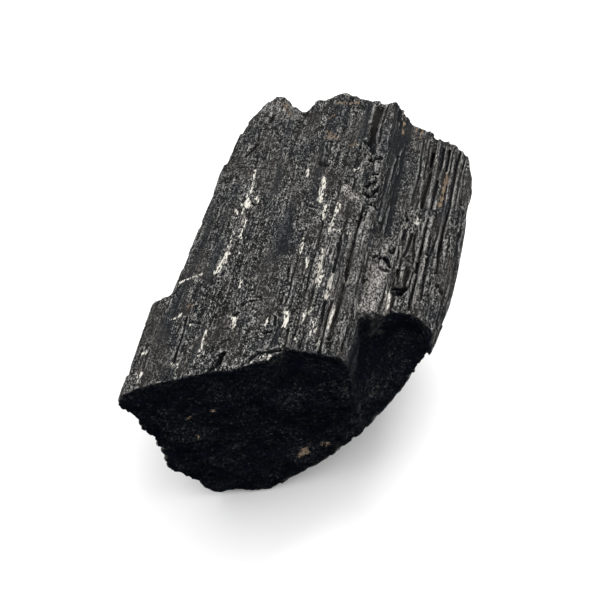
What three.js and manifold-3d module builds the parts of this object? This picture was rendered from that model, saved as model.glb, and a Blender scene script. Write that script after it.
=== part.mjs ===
// Raw black tourmaline (schorl): a broken length of one striated prism, resting on its flattened
// underside with its growth axis leaning up and away. Millimetres, +Z up, origin at the middle of
// the footprint, on the resting surface.
//
// The crystal's own frame is used until the last step: x is across it, y is along its growth axis
// from the near break to the far one, and z is out of its broad striated face, which lies at z = 0.
import * as THREE from "three";
import { mergeVertices } from "three/addons/utils/BufferGeometryUtils.js";
import Module from "manifold-3d";

// Driving dimensions, in millimetres and degrees.
const LENGTH = 82; // near tip to far crest, along the axis
const AXIS_LEAN = 12; // how far the axis leans up from the resting surface
const REST_DEPTH = 38.6; // resting surface below the broad face, measured upright at the near tip
const OVERRUN = 8; // the raw prism runs this far past both breaks before they are cut
const STATION_STEP = 7; // spacing of the prism's cross sections
const BREAK_CELL = 1.8; // facet size of the two broken ends
const UNDERSIDE_CELL = 3; // facet size of the underside
const UNDERSIDE_HOLLOW = 1.1; // depth of the hollows between its flat places
const HOLLOW_SPACING = 8;
const FLAT_SHARE = 0.15; // a higher share, up to 1, leaves more of the underside flat
const FACE_LUMPS = 0.3; // height of the prism faces' slow waves
const LUMP_LENGTH = 11; // length of those waves along the axis
const RIB_LENGTH = 16; // a rib swells and fades over this length
const RIB_PROFILE = [[0, -0.6], [0.3, 0.7], [0.75, 0.45]]; // its groove, steep flank and gentle back
const SEED = 7;

// Roughness of the two breaks, each as [size, height]: ends of broken columns, grains and swells.
const NEAR_ROUGHNESS = { columns: [5, 0.5], grains: [3.1, 0.5], swells: [8, 0.9] };
const FAR_ROUGHNESS = { columns: [6, 1.2], grains: [3.3, 0.6], swells: [11, 1.6] };
const ROUGH_BELOW = 8; // it reaches its full height this far below the broad face

// Cross section, clockwise seen from the near end, as [across, up] at three places along the axis.
// Each side runs to the next corner. Its ribs are so many, or end at the named grooves' places
// across, and stand out by the height.
const SECTIONS = [14, 42, 80];
const OUTLINE = [
  // Left shoulder.
  { near: [-24.9, -1.4], middle: [-23.2, -1.1], far: [-20.6, -1.8], ribs: 2, height: 0.5 },
  // Broad striated face.
  { near: [-19.4, 0.0], middle: [-18.0, 0.1], far: [-16.4, 0.1], ribs: 3, height: 0.35 },
  { near: [-10.6, 0.2], middle: [-10.6, 0.4], far: [-10.0, 0.2], ribs: 2, height: 0.35 },
  {
    near: [-2.7, 0.1],
    middle: [-2.7, 0.4],
    far: [-3.4, 0.5],
    grooves: [0.5, 2.1, 4.8, 7.2],
    height: 0.5,
  },
  // Trough: its lip and its foot.
  { near: [9.9, -0.3], middle: [9.8, 0.0], far: [8.8, 0.5], ribs: 1, height: 0.2 },
  { near: [11.2, -5.4], middle: [11.9, -5.1], far: [12.5, -4.8], ribs: 1, height: 0.4 },
  // Side columns.
  {
    near: [15.6, -5.4],
    middle: [15.8, -4.8],
    far: [16.0, -4.6],
    grooves: [17.9, 19.8, 21.1, 23.1],
    height: 0.9,
  },
  { near: [23.2, -6.8], middle: [24.8, -6.4], far: [24.4, -6.2], ribs: 1, height: 0.6 },
  // Right side.
  { near: [23.3, -9.2], middle: [26.7, -10.0], far: [26.6, -10.2], ribs: 4, height: 0.6 },
  { near: [15.6, -22.0], middle: [23.4, -23.0], far: [24.2, -22.0], ribs: 4, height: 0.7 },
  { near: [5.4, -34.2], middle: [16.6, -41.0], far: [17.0, -34.0], ribs: 3, height: 0.6 },
  // Underside.
  { near: [-2.8, -42.2], middle: [6.5, -53.0], far: [6.0, -41.0], ribs: 4, height: 0.5 },
  { near: [-14.6, -42.0], middle: [-14.0, -52.0], far: [-10.5, -40.0], ribs: 3, height: 0.6 },
  // Left side.
  { near: [-22.2, -29.6], middle: [-22.8, -37.0], far: [-19.4, -30.0], ribs: 4, height: 0.7 },
  { near: [-23.8, -19.0], middle: [-25.0, -20.0], far: [-22.4, -18.0], ribs: 3, height: 0.7 },
  { near: [-26.2, -7.4], middle: [-24.6, -8.0], far: [-22.6, -8.0], ribs: 3, height: 0.6 },
];

// The near break, in a block and a set-back side: at these levels up, how far along the axis it
// stands at each place across.
const NEAR_BLOCK = [
  { up: -40, edge: [[-30, -1], [-14, 7.2], [0, 13], [12, 17.4]] },
  { up: -18, edge: [[-30, 0.2], [-20, 3.4], [-8, 9.4], [0, 12.6], [12, 15.8]] },
  { up: -3, edge: [[-30, 0], [-20, 4], [-8, 8.8], [-3, 12], [0, 15], [12, 14.8]] },
  { up: 0, edge: [[-30, -0.6], [-20, 3], [-15, 5.4], [-8, 8], [-3.2, 10.8], [-0.4, 14.2], [12, 13.8]] },
];
const NEAR_SIDE = [
  { up: -29, edge: [[10, 16.4], [15, 19], [20, 22], [24, 24]] },
  { up: -17, edge: [[10, 16.2], [12.6, 19], [15, 22.6], [19, 25.4], [22, 25.6], [23.2, 24.2], [27, 24]] },
  // Deepest part of the hollow.
  { up: -11.4, edge: [[10, 20], [12, 25.6], [15, 29.6], [19, 31.8], [22.8, 31], [24.4, 25.2], [27, 24.4]] },
  // Shelf of the side columns above it.
  { up: -8.2, edge: [[10, 24.6], [13, 26.2], [16, 29], [20, 30.2], [23.4, 30.2], [25, 26.4], [27, 25]] },
  { up: 2, edge: [[10, 26.4], [13, 26.6], [16, 29.2], [20, 30.4], [23.8, 30.4], [25.4, 27], [27, 25.4]] },
];
const STEP_ACROSS = 10.6; // the break steps from the block to the side here, at the broad face
const STEP_DRIFT = 0.1; // and further right by this much for each millimetre down

// The far break: how far along the axis it stands at each place across, at the top edge and lower.
const FAR_EDGE = [
  [-24, 68], [-21.6, 70.5], [-20, 74.6], [-18.6, 75.6], [-18, 78.4], [-16.6, 80.6], [-14.6, 80.4],
  [-12, 78], [-10.4, 76.1], [-9, 76.2], [-7.2, 80], [-5, 80.2], [-3.4, 82], [-1.6, 82.7],
  [3.4, 81.3], [6.4, 81.7], [7.4, 80.6], [8.4, 82.2], [11, 82.6], [12.6, 82.4], [13.6, 81.2],
  [15.3, 80.8], [17.2, 77.9], [19, 77.4], [21.5, 78.1], [24.7, 76.9], [26.2, 74.6], [27.2, 70],
];
const FAR_BODY = [[-26, 68], [-21, 74], [-12, 78], [10, 79.5], [20, 78], [25, 75], [28, 69]];
const FAR_EDGE_DEPTH = 14; // the edge's ups and downs reach this far down
const FAR_SLOPE = 0.12; // the break falls back by this much for each millimetre down

// Columns that stand out of the prism: centre [across, up], radius, from and to along the axis.
const COLUMNS = [
  { centre: [-24.1, -5.6], radius: 4.9, from: -OVERRUN, to: 25.4 }, // left flank, ends in a ledge
  { centre: [-22.2, -14.2], radius: 3.6, from: -OVERRUN, to: 31 },
  { centre: [-21.2, -27.0], radius: 4.2, from: 12, to: 62 },
  { centre: [-23.0, -10.6], radius: 2.8, from: 44, to: 73 },
  { centre: [-18.4, -39.0], radius: 3.8, from: 30, to: 55 },
  { centre: [21.4, -16.0], radius: 3.6, from: 36, to: 60 },
  { centre: [15.6, -31.0], radius: 4.4, from: 41, to: 72 },
  { centre: [12.7, -4.7], radius: 2.7, from: 25, to: 45 }, // block that fills the near trough
];

// Pits and chips: place [across, along, up] and half sizes in the same order.
const PITS = [
  { at: [-11.4, 5.8, 0.2], size: [1.5, 1.5, 1.4] }, // notch in the near edge
  { at: [-11.6, 9.4, 0.3], size: [0.8, 2.0, 1.0] },
  { at: [5.8, 14.2, 0.4], size: [0.7, 1.8, 1.3] },
  { at: [7.6, 64.5, 0.4], size: [1.3, 0.6, 1.2] },
  { at: [7.6, 56.6, 0.3], size: [1.0, 1.5, 1.1] },
  { at: [9.6, 52.6, -0.4], size: [0.8, 1.0, 1.0] },
  { at: [5.7, 71.5, 0.6], size: [1.0, 3.6, 1.0] },
  { at: [-2.6, 61.3, 0.5], size: [1.0, 0.7, 0.9] },
  { at: [-17.6, 64.0, 0.2], size: [0.8, 1.9, 0.9] },
  { at: [13.2, 40.9, -3.2], size: [1.8, 0.7, 1.3] }, // hollows among the side columns
  { at: [16.4, 35.7, -4.8], size: [1.7, 0.7, 1.4] },
  { at: [24.4, 38.0, -6.2], size: [1.0, 0.8, 0.9] },
  { at: [26.8, 35.8, -9.0], size: [1.3, 1.5, 2.0] },
];

// Small helpers.

function randomFrom(seed) {
  let state = seed;
  return () => {
    state = (state * 1664525 + 1013904223) % 4294967296;
    return state / 4294967296;
  };
}

function hash(ix, iy) {
  const s = Math.sin(ix * 127.1 + iy * 311.7 + SEED) * 43758.5453;
  return s - Math.floor(s);
}

const smooth = (t) => THREE.MathUtils.smoothstep(t, 0, 1);

// Smooth noise from -1 to 1 that changes over about one unit.
function noise(x, y) {
  const ix = Math.floor(x);
  const iy = Math.floor(y);
  const fx = smooth(x - ix);
  const fy = smooth(y - iy);
  const low = THREE.MathUtils.lerp(hash(ix, iy), hash(ix + 1, iy), fx);
  const high = THREE.MathUtils.lerp(hash(ix, iy + 1), hash(ix + 1, iy + 1), fx);
  return 2 * THREE.MathUtils.lerp(low, high, fy) - 1;
}

// A random level for each irregular cell of about one unit, from -1 to 1: the broken column ends.
function cellLevel(x, y) {
  let nearest = Infinity;
  let level = 0;
  for (let ix = Math.floor(x) - 1; ix <= Math.floor(x) + 1; ix++) {
    for (let iy = Math.floor(y) - 1; iy <= Math.floor(y) + 1; iy++) {
      const distance = Math.hypot(ix + hash(ix, iy) - x, iy + hash(iy, ix) - y);
      if (distance < nearest) {
        nearest = distance;
        level = 2 * hash(ix + 31, iy + 17) - 1;
      }
    }
  }
  return level;
}

// Straight-line lookup in a list of [place, value], carried on straight past both its ends.
function along(points, place) {
  const after = points.findIndex(([p]) => p > place);
  const next = after < 0 ? points.length - 1 : Math.max(after, 1);
  const [p0, v0] = points[next - 1];
  const [p1, v1] = points[next];
  return THREE.MathUtils.mapLinear(place, p0, p1, v0, v1);
}

// The ribbed prism, as a loft through cross sections along the axis.

const random = randomFrom(SEED);

// Where each rib of a side starts, as shares of the side, with the side's end last.
function ribStarts({ middle, ribs, grooves }, next) {
  if (grooves) return [0, ...grooves.map((g) => (g - middle[0]) / (next.middle[0] - middle[0])), 1];
  const starts = [0];
  for (let i = 0; i < ribs; i++) starts.push(starts[i] + 0.6 + random());
  return starts.map((start) => start / starts[ribs]);
}

const sides = OUTLINE.map((corner, i) => {
  const starts = ribStarts(corner, OUTLINE[(i + 1) % OUTLINE.length]);
  return starts.slice(0, -1).map((start, j) => {
    return { start, width: starts[j + 1] - start, height: corner.height * (0.6 + 0.7 * random()) };
  });
});

function cornerAt({ near, middle, far }, station) {
  const [n, m, f] = SECTIONS;
  const place = (k) => along([[n, near[k]], [m, middle[k]], [f, far[k]]], station);
  return new THREE.Vector2(place(0), place(1));
}

function crossSection(station) {
  const corners = OUTLINE.map((corner) => cornerAt(corner, station));
  const ring = [];
  corners.forEach((corner, i) => {
    const side = corners[(i + 1) % corners.length].clone().sub(corner);
    const outward = new THREE.Vector2(-side.y, side.x).normalize();
    sides[i].forEach(({ start, width, height }, j) => {
      for (const [share, rise] of RIB_PROFILE) {
        const isCorner = j === 0 && share === 0;
        const t = start + width * share;
        const lump = FACE_LUMPS * noise(i * 5 + t * 3, station / LUMP_LENGTH + i);
        const fade = 0.75 + 0.45 * noise(i * 9 + j * 3.7, station / RIB_LENGTH);
        const out = (isCorner ? 0 : rise * height * fade) + lump;
        ring.push(corner.clone().addScaledVector(side, t).addScaledVector(outward, out));
      }
    });
  });
  return ring;
}

function ribbedPrism() {
  const stations = [];
  for (let s = -OVERRUN; s <= LENGTH + OVERRUN; s += STATION_STEP) stations.push(s);
  const rings = stations.map(crossSection);
  const count = rings[0].length;
  const positions = rings.flatMap((ring, k) => ring.flatMap((p) => [p.x, stations[k], p.y]));
  const nearCentre = positions.length / 3;
  const farCentre = nearCentre + 1;
  positions.push(0, stations[0], -20, 0, stations[stations.length - 1], -20);
  const index = [];
  for (let i = 0; i < count; i++) {
    const j = (i + 1) % count;
    for (let k = 0; k < rings.length - 1; k++) {
      const a = k * count;
      const b = a + count;
      index.push(a + i, a + j, b + i, b + i, a + j, b + j);
    }
    const last = (rings.length - 1) * count;
    index.push(nearCentre, j, i, farCentre, last + i, last + j);
  }
  const geometry = new THREE.BufferGeometry();
  geometry.setAttribute("position", new THREE.Float32BufferAttribute(positions, 3));
  geometry.setIndex(index);
  return geometry;
}

// Columns and pits.

function column({ centre, radius, from, to }, number) {
  const geometry = new THREE.CylinderGeometry(radius * 0.93, radius, to - from, 7, 1);
  geometry.rotateY(number * 1.3);
  const position = geometry.attributes.position;
  const half = (to - from) / 2;
  for (let i = 0; i < position.count; i++) {
    const slant = 0.35 * position.getX(i) - 0.25 * position.getZ(i); // the far end breaks off askew
    if (position.getY(i) > 0) position.setY(i, half + slant);
  }
  return geometry.translate(centre[0], from + half, centre[1]);
}

function pit({ at, size }, number) {
  const geometry = new THREE.IcosahedronGeometry(1, 0);
  geometry.rotateX(number).rotateZ(number * 0.7);
  return geometry.scale(...size).translate(...at);
}

// The two breaks, each a block whose inner face is the broken surface.

const FAR_LEFT = -36; // past the crystal's left side

function breakAt(levels, x, z) {
  const points = levels.map(({ up, edge }) => [up, along(edge, x)]);
  return along(points, THREE.MathUtils.clamp(z, levels[0].up, levels[levels.length - 1].up));
}

function roughness({ columns, grains, swells }, x, z) {
  const depth = THREE.MathUtils.clamp(-z / ROUGH_BELOW, 0, 1);
  const ends = columns[1] * cellLevel(x / columns[0], z / columns[0]);
  const grain = grains[1] * noise(x / grains[0], z / grains[0]);
  const swell = swells[1] * noise(x / swells[0], z / swells[0]);
  return depth * (ends + grain + swell);
}

function nearBreak(levels, x, z) {
  return breakAt(levels, x, z) + roughness(NEAR_ROUGHNESS, x, z);
}

function farBreak(x, z) {
  const depth = smooth(-z / FAR_EDGE_DEPTH);
  const edge = THREE.MathUtils.lerp(along(FAR_EDGE, x), along(FAR_BODY, x), depth);
  return edge + FAR_SLOPE * z + roughness(FAR_ROUGHNESS, x, z);
}

// From the given side of the crystal to past its right side, and from the surface outward.
function breakBlock(surface, outward, left, drift = 0) {
  const [right, height, low] = [36, 72, -62];
  const [across, up] = [right - left, height].map((span) => Math.round(span / BREAK_CELL));
  const geometry = new THREE.BoxGeometry(right - left, 2, height, across, 1, up);
  geometry.translate((left + right) / 2, 0, low + height / 2);
  const position = geometry.attributes.position;
  const outer = outward < 0 ? -5 * OVERRUN : LENGTH + 5 * OVERRUN;
  for (let i = 0; i < position.count; i++) {
    const z = position.getZ(i);
    const x = position.getX(i) - drift * z;
    const isOuter = Math.sign(position.getY(i)) === outward;
    position.setX(i, x);
    position.setY(i, isOuter ? outer : surface(x, z));
  }
  return geometry;
}

// What lies below the resting surface, with hollows reaching up between the flat places.
function undersideBlock() {
  const [width, length, height] = [90, 132, 40];
  const [across, down] = [width, length].map((span) => span / UNDERSIDE_CELL);
  const geometry = new THREE.BoxGeometry(width, length, height, across, down, 1);
  geometry.translate(0, LENGTH / 2, -height / 2);
  const position = geometry.attributes.position;
  for (let i = 0; i < position.count; i++) {
    const swell = noise(position.getX(i) / HOLLOW_SPACING, position.getY(i) / HOLLOW_SPACING);
    const hollow = UNDERSIDE_HOLLOW * Math.max(0, swell - FLAT_SHARE);
    if (position.getZ(i) > -1) position.setZ(i, hollow);
  }
  return geometry;
}

// Solids.

const wasm = await Module();
wasm.setup();

function solid(geometry) {
  const bare = geometry.clone();
  bare.deleteAttribute("normal");
  bare.deleteAttribute("uv");
  const merged = mergeVertices(bare, 1e-4);
  return new wasm.Manifold(
    new wasm.Mesh({
      numProp: 3,
      vertProperties: new Float32Array(merged.attributes.position.array),
      triVerts: new Uint32Array(merged.index.array),
    }),
  );
}

function geometryOf(manifold) {
  const mesh = manifold.getMesh();
  const geometry = new THREE.BufferGeometry();
  geometry.setAttribute("position", new THREE.BufferAttribute(mesh.vertProperties, 3));
  geometry.setIndex(new THREE.BufferAttribute(mesh.triVerts, 1));
  return geometry;
}

// Turns a geometry from the crystal's frame to the way it rests.
function rested(geometry) {
  return geometry.rotateX(THREE.MathUtils.degToRad(AXIS_LEAN)).translate(0, 0, REST_DEPTH);
}

function crystal() {
  const body = COLUMNS.reduce((s, c, i) => s.add(solid(column(c, i))), solid(ribbedPrism()))
    .subtract(solid(breakBlock((x, z) => nearBreak(NEAR_BLOCK, x, z), -1, FAR_LEFT)))
    .subtract(solid(breakBlock((x, z) => nearBreak(NEAR_SIDE, x, z), -1, STEP_ACROSS, STEP_DRIFT)))
    .subtract(solid(breakBlock(farBreak, 1, FAR_LEFT)));
  const pitted = PITS.reduce((s, p, i) => s.subtract(solid(pit(p, i))), body);
  const lying = solid(rested(geometryOf(pitted))).subtract(solid(undersideBlock()));
  const geometry = geometryOf(lying);
  geometry.computeBoundingBox();
  const middle = geometry.boundingBox.getCenter(new THREE.Vector3());
  return geometry.translate(-middle.x, -middle.y, 0);
}

const schorl = new THREE.MeshStandardMaterial({ color: 0x232427, roughness: 0.5, metalness: 0 });
const mesh = new THREE.Mesh(crystal(), schorl);
mesh.name = "tourmaline";

const part = new THREE.Group();
part.add(mesh);
export default part;
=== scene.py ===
"""The looks of a raw black tourmaline: a broken length of ribbed schorl crystal and a plain stage for it.

Lengths are in metres in the row frame unless a name or comment says mm. A place on the crystal is given in
its own frame: u across the broad face, along the growth axis from the near break, v out of the broad face.
"""

import math

import bmesh
import bpy
import numpy as np
from bpy.props import FloatProperty, FloatVectorProperty, IntProperty, PointerProperty
from mathutils import Matrix, Vector


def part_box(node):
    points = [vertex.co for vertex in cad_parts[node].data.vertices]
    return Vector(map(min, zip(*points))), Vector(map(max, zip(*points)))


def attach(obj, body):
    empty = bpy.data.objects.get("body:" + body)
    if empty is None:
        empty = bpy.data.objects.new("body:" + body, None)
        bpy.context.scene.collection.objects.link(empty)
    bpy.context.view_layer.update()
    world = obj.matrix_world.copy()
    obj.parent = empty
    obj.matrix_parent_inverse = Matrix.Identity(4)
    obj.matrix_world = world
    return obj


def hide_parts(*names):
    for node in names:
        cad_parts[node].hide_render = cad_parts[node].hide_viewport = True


bl_info = {
    "name": "Raw black tourmaline",
    "version": (1, 0, 0),
    "blender": (4, 5, 0),
    "location": "3D View > Sidebar > Tourmaline",
    "description": "A broken length of ribbed black crystal, with its stone finish and a plain stage",
    "category": "Object",
}

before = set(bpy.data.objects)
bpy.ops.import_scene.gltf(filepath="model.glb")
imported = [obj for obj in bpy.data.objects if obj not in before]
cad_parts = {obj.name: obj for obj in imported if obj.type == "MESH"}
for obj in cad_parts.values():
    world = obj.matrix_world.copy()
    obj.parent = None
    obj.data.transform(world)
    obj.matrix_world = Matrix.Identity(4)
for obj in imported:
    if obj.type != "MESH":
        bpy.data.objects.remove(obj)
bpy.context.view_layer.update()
CAD_NODE = "tourmaline"

MM = 0.001
# how the crystal's own frame lies in the row frame, its origin in mm
AXIS_LEAN = math.radians(12)
CRYSTAL_ORIGIN = Vector((0.9834, -41.7779, 38.6))
AXIS = Vector((0, math.cos(AXIS_LEAN), math.sin(AXIS_LEAN)))
FACE_OUT = Vector((0, -math.sin(AXIS_LEAN), math.cos(AXIS_LEAN)))

# In mm of v: the broad faces' marks stay above the first, the near break's grains below the second
BROAD_FACE_FOOT = -14
NEAR_BREAK_TOP = -8
# Over how many mm the edge of each kind of mark fades
FADE = {"stepped": 2.0, "trough": 1.2, "fleck_and_glint": 0.4, "stain": 0.6, "frost_and_highlight": 1.5, "dusty": 2.5}
# Height of the main wave by which a cut or a rise wanders sideways, in mm
CUT_WANDER = 0.12
RISE_WANDER = 0.1
# A step of the hollow mark, which paints shade into hollows and highlight onto ridges, in mm, the most
# steps it takes, and how much more painted shade a deep cut adds
HOLLOW_STEP = 0.1
HOLLOW_LIMIT = 2
CUT_SHADE = 1.6
# The bump's height and how far single grains are tilted in the material
GRAIN_HEIGHT = 0.4 * MM
GRAIN_TILT = 0.45
# Fewer or more triangles than these mean that a step went wrong
FEWEST_TRIANGLES, MOST_TRIANGLES = 50000, 200000
# The lamps and the camera are aimed at this place on the axis, from these distances
AIM_ALONG = 26 * MM
LAMP_DISTANCE = 0.6
CAMERA_AZIMUTH, CAMERA_ELEVATION, CAMERA_DISTANCE = math.radians(12), math.radians(38), 277.8 * MM

# Marks on the broad faces, in mm: a path of (u, along) points, half width, depth of the cut
CUTS = [
    # broad face: notch in the near edge and the pits behind it
    ([(-12.7, 6.6), (-12, 8.6), (-11, 11.2)], 0.5, 1.1),
    ([(-12.2, 13.4), (-11.2, 14.4), (-10.6, 14.5)], 0.35, 0.6),
    ([(-12.4, 16.8), (-11.4, 17.1), (-10.4, 16.9)], 0.3, 0.35),
    ([(-11.3, 20.1), (-10.6, 20.9)], 0.35, 0.5),
    ([(-10.3, 22.8), (-9.6, 23.5)], 0.3, 0.5),
    ([(-9, 23.9), (-8, 24.3)], 0.35, 0.55),
    ([(-8, 25.1), (-7.1, 25.3), (-6.9, 24.6)], 0.3, 0.5),
    ([(-18.8, 17.4), (-17.2, 17.6)], 0.35, 0.4),
    ([(-19.5, 6.8), (-19.4, 13), (-19.6, 18.6)], 0.22, 0.5),
    ([(-24.9, 6.4), (-25, 10.5)], 0.25, 0.5),
    ([(-6.2, 10.4), (-4.8, 12.2), (-3.6, 12.8), (-1.8, 13.6), (0.4, 14.2)], 0.4, 0.8),
    ([(-4.9, 17.1), (-3.6, 17.6)], 0.35, 0.6),
    ([(-3.6, 21), (-3.4, 19.2)], 0.3, 0.5),
    ([(-3.2, 27), (-3.2, 24.2)], 0.25, 0.45),
    ([(-3.6, 33.5), (-3.4, 30)], 0.25, 0.45),
    ([(-2.4, 37), (-2.5, 24)], 0.2, 0.4),
    # its grooves
    ([(-0.8, 12), (-0.5, 15), (-0.6, 18.4)], 0.3, 0.5),
    ([(0.6, 15), (0.6, 36), (0.4, 47)], 0.22, 0.4),
    ([(2.1, 15), (2, 24), (2, 38)], 0.25, 0.4),
    ([(4.9, 16), (4.8, 26), (4.7, 48)], 0.28, 0.5),
    ([(5.9, 13.6), (5.8, 19), (5.9, 26.5)], 0.28, 0.8),
    ([(7, 18), (7.2, 27), (7.3, 37), (7.1, 49)], 0.38, 0.7),
    ([(9.9, 16), (10.1, 24), (10.2, 34), (10.3, 46.5)], 0.4, 0.9),
    # its far part
    ([(-22.5, 60.2), (-18.2, 59.6)], 0.2, 0.25),
    ([(-21.5, 58.4), (-12, 58.2)], 0.18, 0.25),
    ([(-1, 59), (3, 58.4), (6, 58.9)], 0.2, 0.25),
    ([(-18.5, 62), (-17.8, 63.8), (-17, 65.2)], 0.4, 0.9),
    ([(-17.2, 66.2), (-17.4, 68.6)], 0.25, 0.4),
    ([(-15.9, 76.6), (-15.4, 74.6), (-15.7, 72.2)], 0.45, 0.6),
    ([(-17, 79.6), (-17.6, 75.4)], 0.22, 0.5),
    ([(-14.4, 78.4), (-14.6, 74)], 0.2, 0.5),
    ([(-13.2, 77.4), (-13.4, 73.6)], 0.2, 0.4),
    ([(-12, 76.2), (-12.2, 73.2)], 0.2, 0.4),
    ([(-19, 55.4), (-18.6, 54.4)], 0.4, 0.4),
    ([(-10.2, 73), (-9, 73.4)], 0.35, 0.6),
    ([(-13.6, 69), (-13.2, 68.6)], 0.4, 0.4),
    ([(-3.2, 70), (-2.2, 69.6)], 0.4, 0.6),
    ([(-3.3, 67.5), (-1.9, 67.6)], 0.3, 0.6),
    ([(-2.8, 66), (-2.4, 64.8)], 0.3, 0.6),
    ([(-3.2, 63.6), (-2, 63.4)], 0.3, 0.5),
    ([(-3.2, 61.5), (-1.6, 61.1)], 0.45, 0.8),
    ([(-3.3, 49.8), (-2.2, 49.6)], 0.4, 0.5),
    ([(-14, 48.6), (-13.4, 48.2)], 0.3, 0.6),
    ([(6.2, 67), (5.9, 70), (5.4, 74), (5.8, 79.5)], 0.75, 1.2),
    ([(7.3, 69), (7, 75), (7.2, 79.6)], 0.3, 0.6),
    ([(4.4, 69.2), (5.4, 67), (6.6, 66.2)], 0.4, 0.8),
    ([(6.3, 64.1), (7.4, 64.4), (8.2, 65)], 0.5, 1.6),
    ([(7.7, 60), (8.5, 60)], 0.25, 0.6),
    ([(6.7, 57), (7.3, 57.9), (8.4, 58.4)], 0.33, 1.0),
    ([(9.3, 56.8), (8.5, 55.9), (8.3, 55.3)], 0.45, 1.5),
    ([(7.2, 54.9), (7.9, 54.4), (8.7, 54.5)], 0.42, 1.4),
    ([(8.5, 52.3), (9.3, 52.6), (9.8, 52.2), (10.4, 52.3)], 0.38, 1.3),
    ([(2.8, 57.5), (3.2, 57.1)], 0.28, 0.5),
    ([(2.2, 56.6), (2.1, 52.4)], 0.2, 0.5),
    ([(0.7, 52.1), (1.7, 51.9)], 0.22, 0.5),
    ([(4, 67.7), (4, 67)], 0.3, 0.7),
    ([(6.3, 69), (6.3, 67)], 0.25, 0.7),
    ([(6.4, 54), (6.2, 51.6)], 0.25, 0.5),
    ([(8.2, 50.2), (8, 47.6)], 0.25, 0.5),
    # lower strip on the right: the long grooves of its far part
    ([(15.7, 76.4), (15.9, 70), (15.9, 63), (15.8, 57.5)], 0.2, 0.6),
    ([(17.1, 76), (17.2, 70), (17.1, 65.5)], 0.2, 0.5),
    ([(18.1, 73.5), (18.1, 69.6)], 0.28, 1.0),
    ([(18.3, 67.8), (18.2, 64), (18, 61), (17.7, 57.8)], 0.34, 1.2),
    ([(19.9, 75.6), (19.9, 69.2)], 0.28, 0.9),
    ([(19.9, 66), (19.8, 62), (19.8, 57.8)], 0.3, 1.1),
    ([(21.2, 75.6), (21.2, 69.6)], 0.28, 0.9),
    ([(22, 76.4), (21.9, 70), (21.7, 60)], 0.18, 0.4),
    ([(23.2, 76.4), (23.2, 70), (23.2, 60), (23, 50), (23, 42)], 0.24, 0.8),
    ([(24.4, 75.6), (24.3, 68), (24.2, 58)], 0.18, 0.5),
    ([(25.6, 74), (25.6, 66), (25.3, 57), (25.6, 50)], 0.3, 0.8),
    # and the short ones of its near part
    ([(15.6, 54.4), (15.4, 51), (15.5, 48.6)], 0.26, 0.8),
    ([(17, 50), (16.8, 47.5), (16.4, 44.4)], 0.34, 1.2),
    ([(17.9, 49.6), (18, 46), (18.2, 42.6)], 0.24, 0.7),
    ([(19.7, 55), (19.5, 47), (19.3, 41)], 0.3, 1.1),
    ([(20.8, 50.4), (20.7, 45.6)], 0.24, 0.6),
    ([(21.8, 54), (21.8, 47.6)], 0.2, 0.5),
    ([(15.9, 40.6), (15.8, 36.4)], 0.28, 0.9),
    ([(17.9, 41.4), (17.9, 37.4)], 0.28, 0.9),
    ([(18.9, 40.8), (18.9, 36.8)], 0.2, 0.6),
    ([(19.7, 39.8), (19.8, 34.4)], 0.24, 0.7),
    ([(21.1, 41), (21.2, 35)], 0.2, 0.5),
    ([(22.8, 38), (22.8, 31.4)], 0.2, 0.5),
    ([(17, 44), (18.2, 43.4)], 0.25, 0.5),
    ([(18.6, 41.6), (20, 41.4)], 0.25, 0.6),
    ([(15, 45), (14.6, 43.6), (14.1, 43.3)], 0.42, 1.4),
    ([(10.6, 41), (11.3, 41.6), (12.1, 42.2)], 0.36, 1.1),
    ([(12.3, 41.1), (13.4, 40.9), (14.6, 39.8)], 0.48, 1.6),
    ([(12.4, 38.4), (13.2, 38.1), (14.3, 38.6)], 0.38, 1.2),
    ([(10.5, 38.4), (11.5, 37.2)], 0.3, 0.6),
    ([(14.8, 35), (15.9, 34.6)], 0.36, 1.2),
    ([(16.4, 34.2), (17.2, 35), (18.2, 36.6)], 0.62, 1.7),
    ([(16.4, 34), (16.6, 33), (16.4, 31)], 0.3, 0.9),
    ([(14.7, 34.4), (14.7, 32), (14.6, 29)], 0.26, 1.0),
    ([(23.8, 38.8), (24.6, 38.4), (25.1, 37.6)], 0.5, 1.1),
    ([(25.8, 35.2), (26.4, 36.6)], 0.5, 0.9),
    ([(13, 70.6), (13.4, 70.4)], 0.3, 0.4),
    ([(25.6, 54.6), (25.7, 51.4)], 0.34, 0.9),
    ([(16, 30.2), (17.2, 29.6)], 0.35, 0.6),
]

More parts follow.
